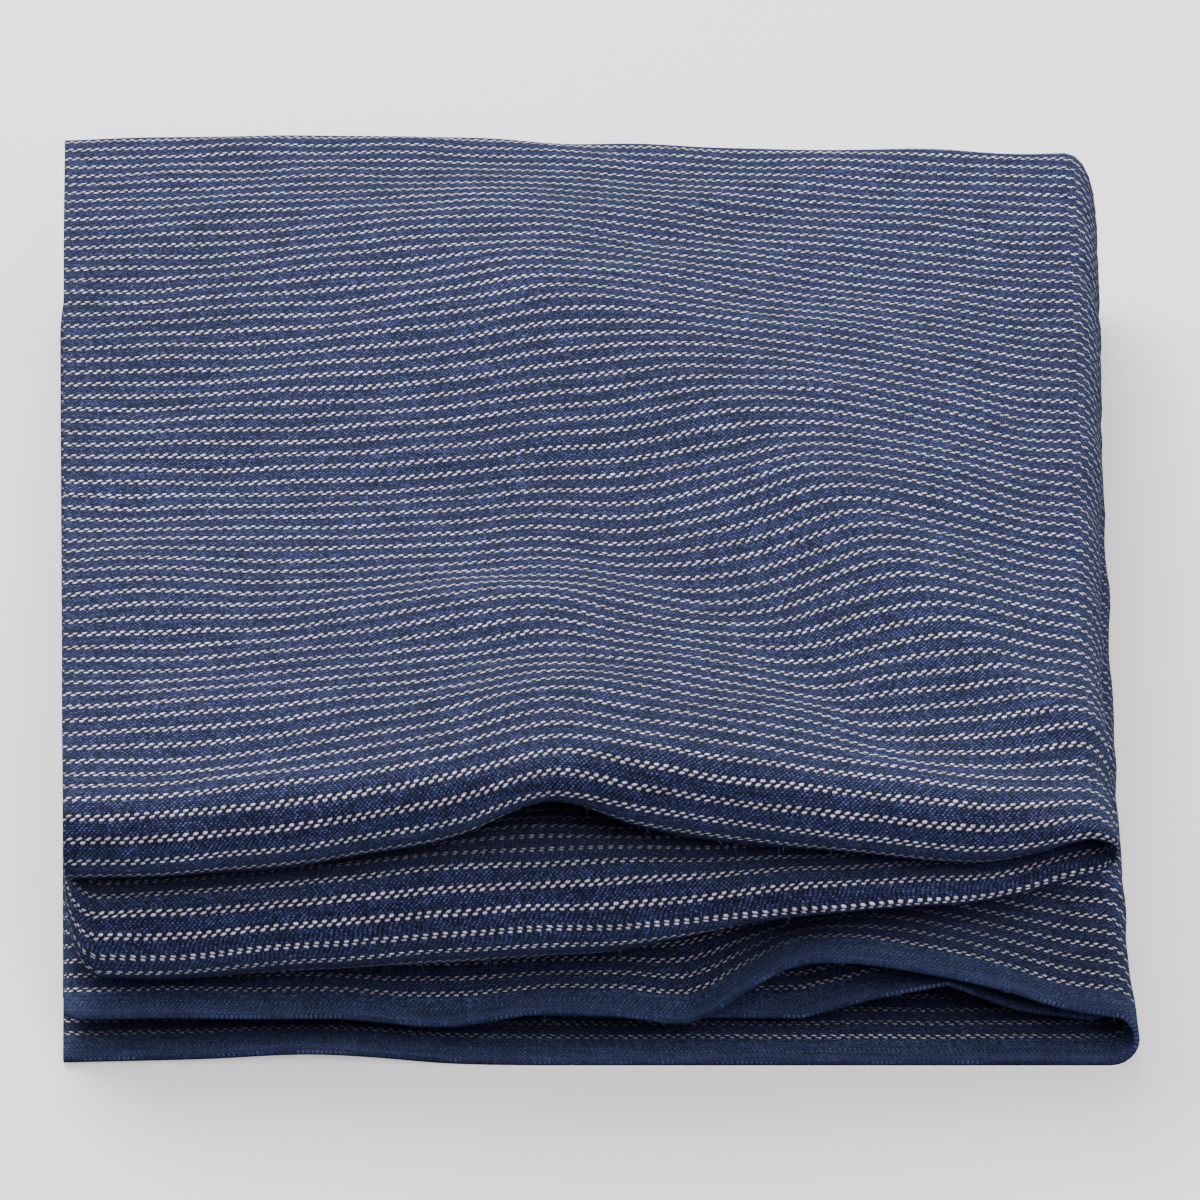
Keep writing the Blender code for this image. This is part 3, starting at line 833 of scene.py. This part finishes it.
def fibre_mesh(name, points, normals, random, longest, radius):
    """Short bent fibres that stand on a surface, each a thin three-sided prism."""
    count = len(points)
    lean = normals + random.normal(0.0, FIBRE_LEAN, (count, 3))
    lean /= np.linalg.norm(lean, axis=1, keepdims=True)
    curl = random.normal(0.0, FIBRE_CURL, (count, 3))
    length = longest * random.uniform(FIBRE_SHORTEST, 1.0, count)[:, None]**FIBRE_SHORTNESS
    side = np.cross(lean, random.normal(0.0, 1.0, (count, 3)))
    side /= np.linalg.norm(side, axis=1, keepdims=True)
    other = np.cross(lean, side)
    rings = []
    for share, thick in FIBRE_RINGS:
        middle = points + lean * length * share + curl * length * share**2 * FIBRE_CURL_SHARE
        for corner in range(FIBRE_SIDES):
            angle = 2 * math.pi * corner / FIBRE_SIDES
            out = side * math.cos(angle) + other * math.sin(angle)
            rings.append(middle + out * radius * thick)
    places = np.stack(rings, axis=1)
    places[..., 2] = np.maximum(places[..., 2], FIBRE_ABOVE_FLOOR)
    faces = []
    for ring in range(len(FIBRE_RINGS) - 1):
        low = ring * FIBRE_SIDES
        high = low + FIBRE_SIDES
        for corner in range(FIBRE_SIDES):
            after = (corner + 1) % FIBRE_SIDES
            faces.append((low + corner, low + after, high + after, high + corner))
    faces = np.array(faces)
    last = len(rings) - FIBRE_SIDES
    ends = np.array(((2, 1, 0), (last, last + 1, last + 2)))
    first = np.arange(count)[:, None, None] * len(rings)
    polygons = (first + faces).reshape(-1, 4).tolist() + (first + ends).reshape(-1, 3).tolist()
    mesh = bpy.data.meshes.new(name)
    mesh.from_pydata((places.reshape(-1, 3) * MM).tolist(), [], polygons)
    mesh.shade_smooth()
    return mesh


def fuzz_material(colour):
    """Loose cotton fibres, dyed, some of them paler."""
    material = bpy.data.materials.new("cotton fuzz")
    material.use_nodes = True
    weave = Weave(material.node_tree)
    shader = material.node_tree.nodes["Principled BSDF"]
    place = weave.node("ShaderNodeTexCoord")
    noise = weave.node("ShaderNodeTexNoise")
    noise.inputs["Scale"].default_value = FUZZ_NOISE_SCALE
    weave.tree.links.new(place.outputs["Object"], noise.inputs["Vector"])
    pale = tuple(min(1.0, FUZZ_PALER + value) for value in colour)
    weave.link(weave.mix(weave.ramp(noise.outputs["Fac"], *FUZZ_NOISE), colour, pale),
               shader.inputs["Base Color"])
    shader.inputs["Roughness"].default_value = FUZZ_ROUGHNESS
    return material


def finish_piece(name, mesh, material):
    """A linked object that rides on the pack and takes the cloth's finish."""
    piece = bpy.data.objects.new(name, mesh)
    bpy.context.scene.collection.objects.link(piece)
    piece.data.materials.append(material)
    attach(piece, "root")
    return piece


class CLOTH_OT_fold_sheet(bpy.types.Operator):
    """Folds the sheet of striped cotton into its pack"""

    bl_idname = "cloth.fold_sheet"
    bl_label = "Fold the sheet"

    def execute(self, context):
        sizes = context.scene.cloth_sizes
        points, lines = sheet_points()
        coordinates = weave_coordinates(points, lines)
        points = rippled(points, sizes.ripple)
        mesh = grid_mesh("folded_cloth", points, coordinates)
        cotton = cotton_material(sizes, context.scene.cloth_colours)
        piece = finish_piece("folded_cloth", mesh, cotton)
        solid = piece.modifiers.new("thickness", "SOLIDIFY")
        solid.thickness = sizes.thickness
        solid.offset = 0.0
        apply_modifier(piece, solid.name)
        piece.data.shade_smooth()
        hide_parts("cloth")
        return {"FINISHED"}


class CLOTH_OT_raise_fuzz(bpy.types.Operator):
    """Raises short loose fibres all over the folded cloth"""

    bl_idname = "cloth.raise_fuzz"
    bl_label = "Raise the fuzz"

    def execute(self, context):
        sizes = context.scene.cloth_sizes
        cloth = bpy.data.objects["folded_cloth"]
        random = np.random.default_rng(FUZZ_SEED)
        faces = cloth.data.polygons
        area = np.zeros(len(faces))
        middle = np.zeros(len(faces) * 3)
        normal = np.zeros(len(faces) * 3)
        faces.foreach_get("area", area)
        faces.foreach_get("center", middle)
        faces.foreach_get("normal", normal)
        middle = middle.reshape(-1, 3) / MM
        normal = normal.reshape(-1, 3)
        lo, hi = middle.min(0), middle.max(0)
        x, y = middle[:, 0], middle[:, 1]
        inside = ((x > lo[0] + FUZZ_INSIDE_EDGE) & (x < hi[0] - FUZZ_INSIDE_EDGE)
                  & (y > lo[1] + FUZZ_INSIDE_FRONT) & (y < hi[1] - FUZZ_INSIDE_EDGE))
        weight = np.where(inside & (normal[:, 2] < FUZZ_UPWARD), 0.0, area)
        weight *= np.where(y < lo[1] + FUZZ_FRONT_DEPTH, FUZZ_FRONT_WEIGHT, 1.0)
        picked = random.choice(len(faces), sizes.fuzz_count, p=weight / weight.sum())
        scatter = random.uniform(-FUZZ_SCATTER, FUZZ_SCATTER, (sizes.fuzz_count, 3))
        places = middle[picked] + scatter
        off = np.einsum("ij,ij->i", places - middle[picked], normal[picked])[:, None]
        places = places - normal[picked] * off
        mesh = fibre_mesh("cotton_fuzz", places, normal[picked], random, FUZZ_LONGEST,
                          FUZZ_RADIUS)
        fuzz = finish_piece("cotton_fuzz", mesh, fuzz_material(context.scene.cloth_colours.fuzz))
        return {"FINISHED"}


def soft_light(name, place, target, energy, width, colour):
    """A square softbox that faces a point."""
    light = bpy.data.lights.new(name, "AREA")
    light.energy = energy
    light.size = width
    light.color = colour
    lamp = bpy.data.objects.new(name, light)
    bpy.context.scene.collection.objects.link(lamp)
    lamp.location = place
    direction = np.array(target) - np.array(place)
    flat = math.hypot(direction[0], direction[1])
    lamp.rotation_euler = (math.atan2(flat, -direction[2]), 0.0,
                           math.atan2(-direction[0], direction[1]))
    return lamp


def stage_floor(colours):
    """A pale floor: it glows a little for the camera and is dimmer for the cloth."""
    bpy.ops.object.select_all(action="DESELECT")
    bpy.ops.mesh.primitive_plane_add(size=FLOOR_WIDTH, location=(0.0, 0.0, 0.0))
    floor = bpy.context.object
    floor.name = "floor"
    material = bpy.data.materials.new("pale floor")
    material.use_nodes = True
    shader = material.node_tree.nodes["Principled BSDF"]
    shader.inputs["Roughness"].default_value = FLOOR_ROUGHNESS
    paint = Weave(material.node_tree)
    seen = paint.node("ShaderNodeLightPath").outputs["Is Camera Ray"]
    paint.link(paint.mix(seen, colours.floor_bounce, colours.floor), shader.inputs["Base Color"])
    shader.inputs["Emission Color"].default_value = (1.0, 1.0, 1.0, 1.0)
    paint.link(paint.sum("MULTIPLY", seen, FLOOR_GLOW), shader.inputs["Emission Strength"])
    floor.data.materials.append(material)
    return floor


def studio_world():
    """A soft white sky, dimmer low down."""
    world = bpy.data.worlds.new("studio")
    world.use_nodes = True
    sky = Weave(world.node_tree)
    background = world.node_tree.nodes["Background"]
    background.inputs["Color"].default_value = SKY_COLOUR
    direction = sky.node("ShaderNodeSeparateXYZ")
    sky.link(sky.node("ShaderNodeTexCoord").outputs["Generated"], direction.inputs[0])
    sky.link(sky.ramp(direction.outputs["Z"], *SKY_STRENGTH), background.inputs["Strength"])
    return world


def front_camera():
    """A long lens that looks down on the front of the pack."""
    camera = bpy.data.cameras.new("camera")
    camera.lens = LENS
    camera.sensor_width = SENSOR_WIDTH
    camera.sensor_fit = "HORIZONTAL"
    camera.clip_start, camera.clip_end = CLIP
    viewer = bpy.data.objects.new("camera", camera)
    bpy.context.scene.collection.objects.link(viewer)
    elevation = math.radians(ELEVATION)
    back, up = math.cos(elevation), math.sin(elevation)
    viewer.location = (0.0, AIM_Y - CAMERA_AWAY * back + CAMERA_RISE * up,
                       CAMERA_AWAY * up + CAMERA_RISE * back)
    viewer.rotation_euler = (math.pi / 2 - elevation, 0.0, 0.0)
    return viewer


class CLOTH_OT_set_stage(bpy.types.Operator):
    """Sets the pale floor, the soft lights and the camera"""

    bl_idname = "cloth.set_stage"
    bl_label = "Set the stage"

    def execute(self, context):
        scene = context.scene
        floor = stage_floor(scene.cloth_colours)
        scene.world = studio_world()
        for softbox in SOFTBOXES:
            soft_light(*softbox)
        scene.camera = front_camera()
        return {"FINISHED"}


class CLOTH_PT_panel(bpy.types.Panel):
    """Sizes, colours and steps of the folded cloth"""

    bl_idname = "CLOTH_PT_panel"
    bl_label = "Folded stripe cloth"
    bl_space_type = "VIEW_3D"
    bl_region_type = "UI"
    bl_category = "Cloth"

    def draw(self, context):
        layout = self.layout
        for group in (context.scene.cloth_sizes, context.scene.cloth_colours):
            for name in group.__annotations__:
                layout.prop(group, name)
        for operator in OPERATORS:
            layout.operator(operator.bl_idname)


OPERATORS = (CLOTH_OT_fold_sheet, CLOTH_OT_raise_fuzz, CLOTH_OT_set_stage)
CLASSES = (ClothSizes, ClothColours, *OPERATORS, CLOTH_PT_panel)


def register():
    for cls in CLASSES:
        bpy.utils.register_class(cls)
    bpy.types.Scene.cloth_sizes = PointerProperty(type=ClothSizes)
    bpy.types.Scene.cloth_colours = PointerProperty(type=ClothColours)


def unregister():
    del bpy.types.Scene.cloth_colours
    del bpy.types.Scene.cloth_sizes
    for cls in reversed(CLASSES):
        bpy.utils.unregister_class(cls)


def main():
    register()
    bpy.ops.cloth.fold_sheet()
    bpy.ops.cloth.raise_fuzz()
    bpy.ops.cloth.set_stage()
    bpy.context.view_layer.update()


if __name__ == "__main__":
    main()
